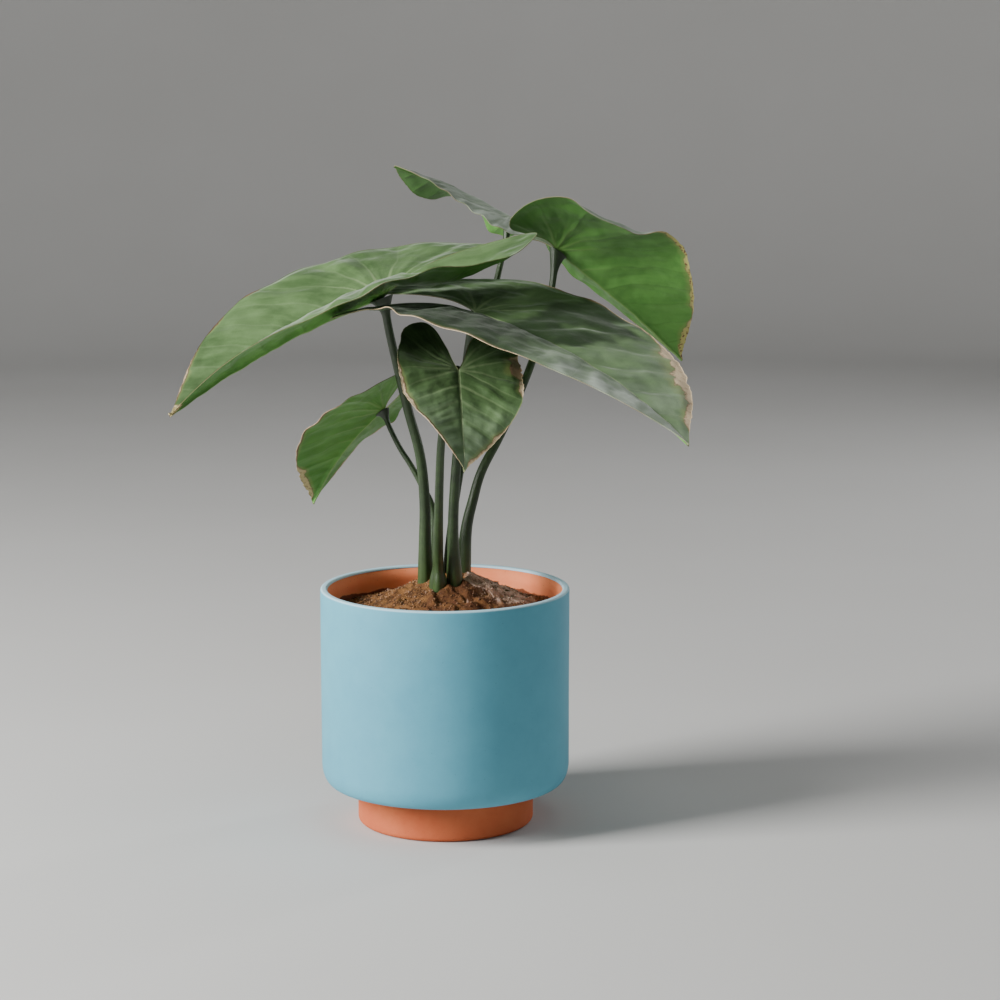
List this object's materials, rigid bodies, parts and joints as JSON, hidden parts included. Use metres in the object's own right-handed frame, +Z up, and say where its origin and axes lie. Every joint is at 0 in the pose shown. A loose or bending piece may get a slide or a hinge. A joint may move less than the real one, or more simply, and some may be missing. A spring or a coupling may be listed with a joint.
{
  "type": "potted elephant ear taro",
  "caption": "Arrow leaved taro house plant: drooping folded leaves on slender stalks, growing from a soil mound in a matte blue pot lined and footed in terracotta.",
  "frame": {"origin": "centre of the foot's flat underside, which stands on the surface", "axes": "+Z up out of the pot, -Y to the front of the arrangement, +X to its right"},
  "size_m": [0.4066, 0.4011, 0.5229],
  "materials": {
    "blue_glaze": "matte blue glaze, faintly mottled",
    "terracotta": "unglazed terracotta",
    "soil": "crumbly dark potting soil with bark",
    "stalk": "smooth grey green leaf stalk",
    "leaf": "waxy leaf, pale sheen above and bright green below"
  },
  "bodies": {
    "root": {"foot": "terracotta", "outer_pot": "blue_glaze", "inner_pot": "terracotta", "soil": "soil", "stalk_a": "stalk", "stalk_b": "stalk", "stalk_c": "stalk", "stalk_d": "stalk", "stalk_e": "stalk", "stalk_f": "stalk", "blade_a": "leaf", "blade_b": "leaf", "blade_c": "leaf", "blade_d": "leaf", "blade_e": "leaf", "blade_f": "leaf"}
  },
  "joints": []
}
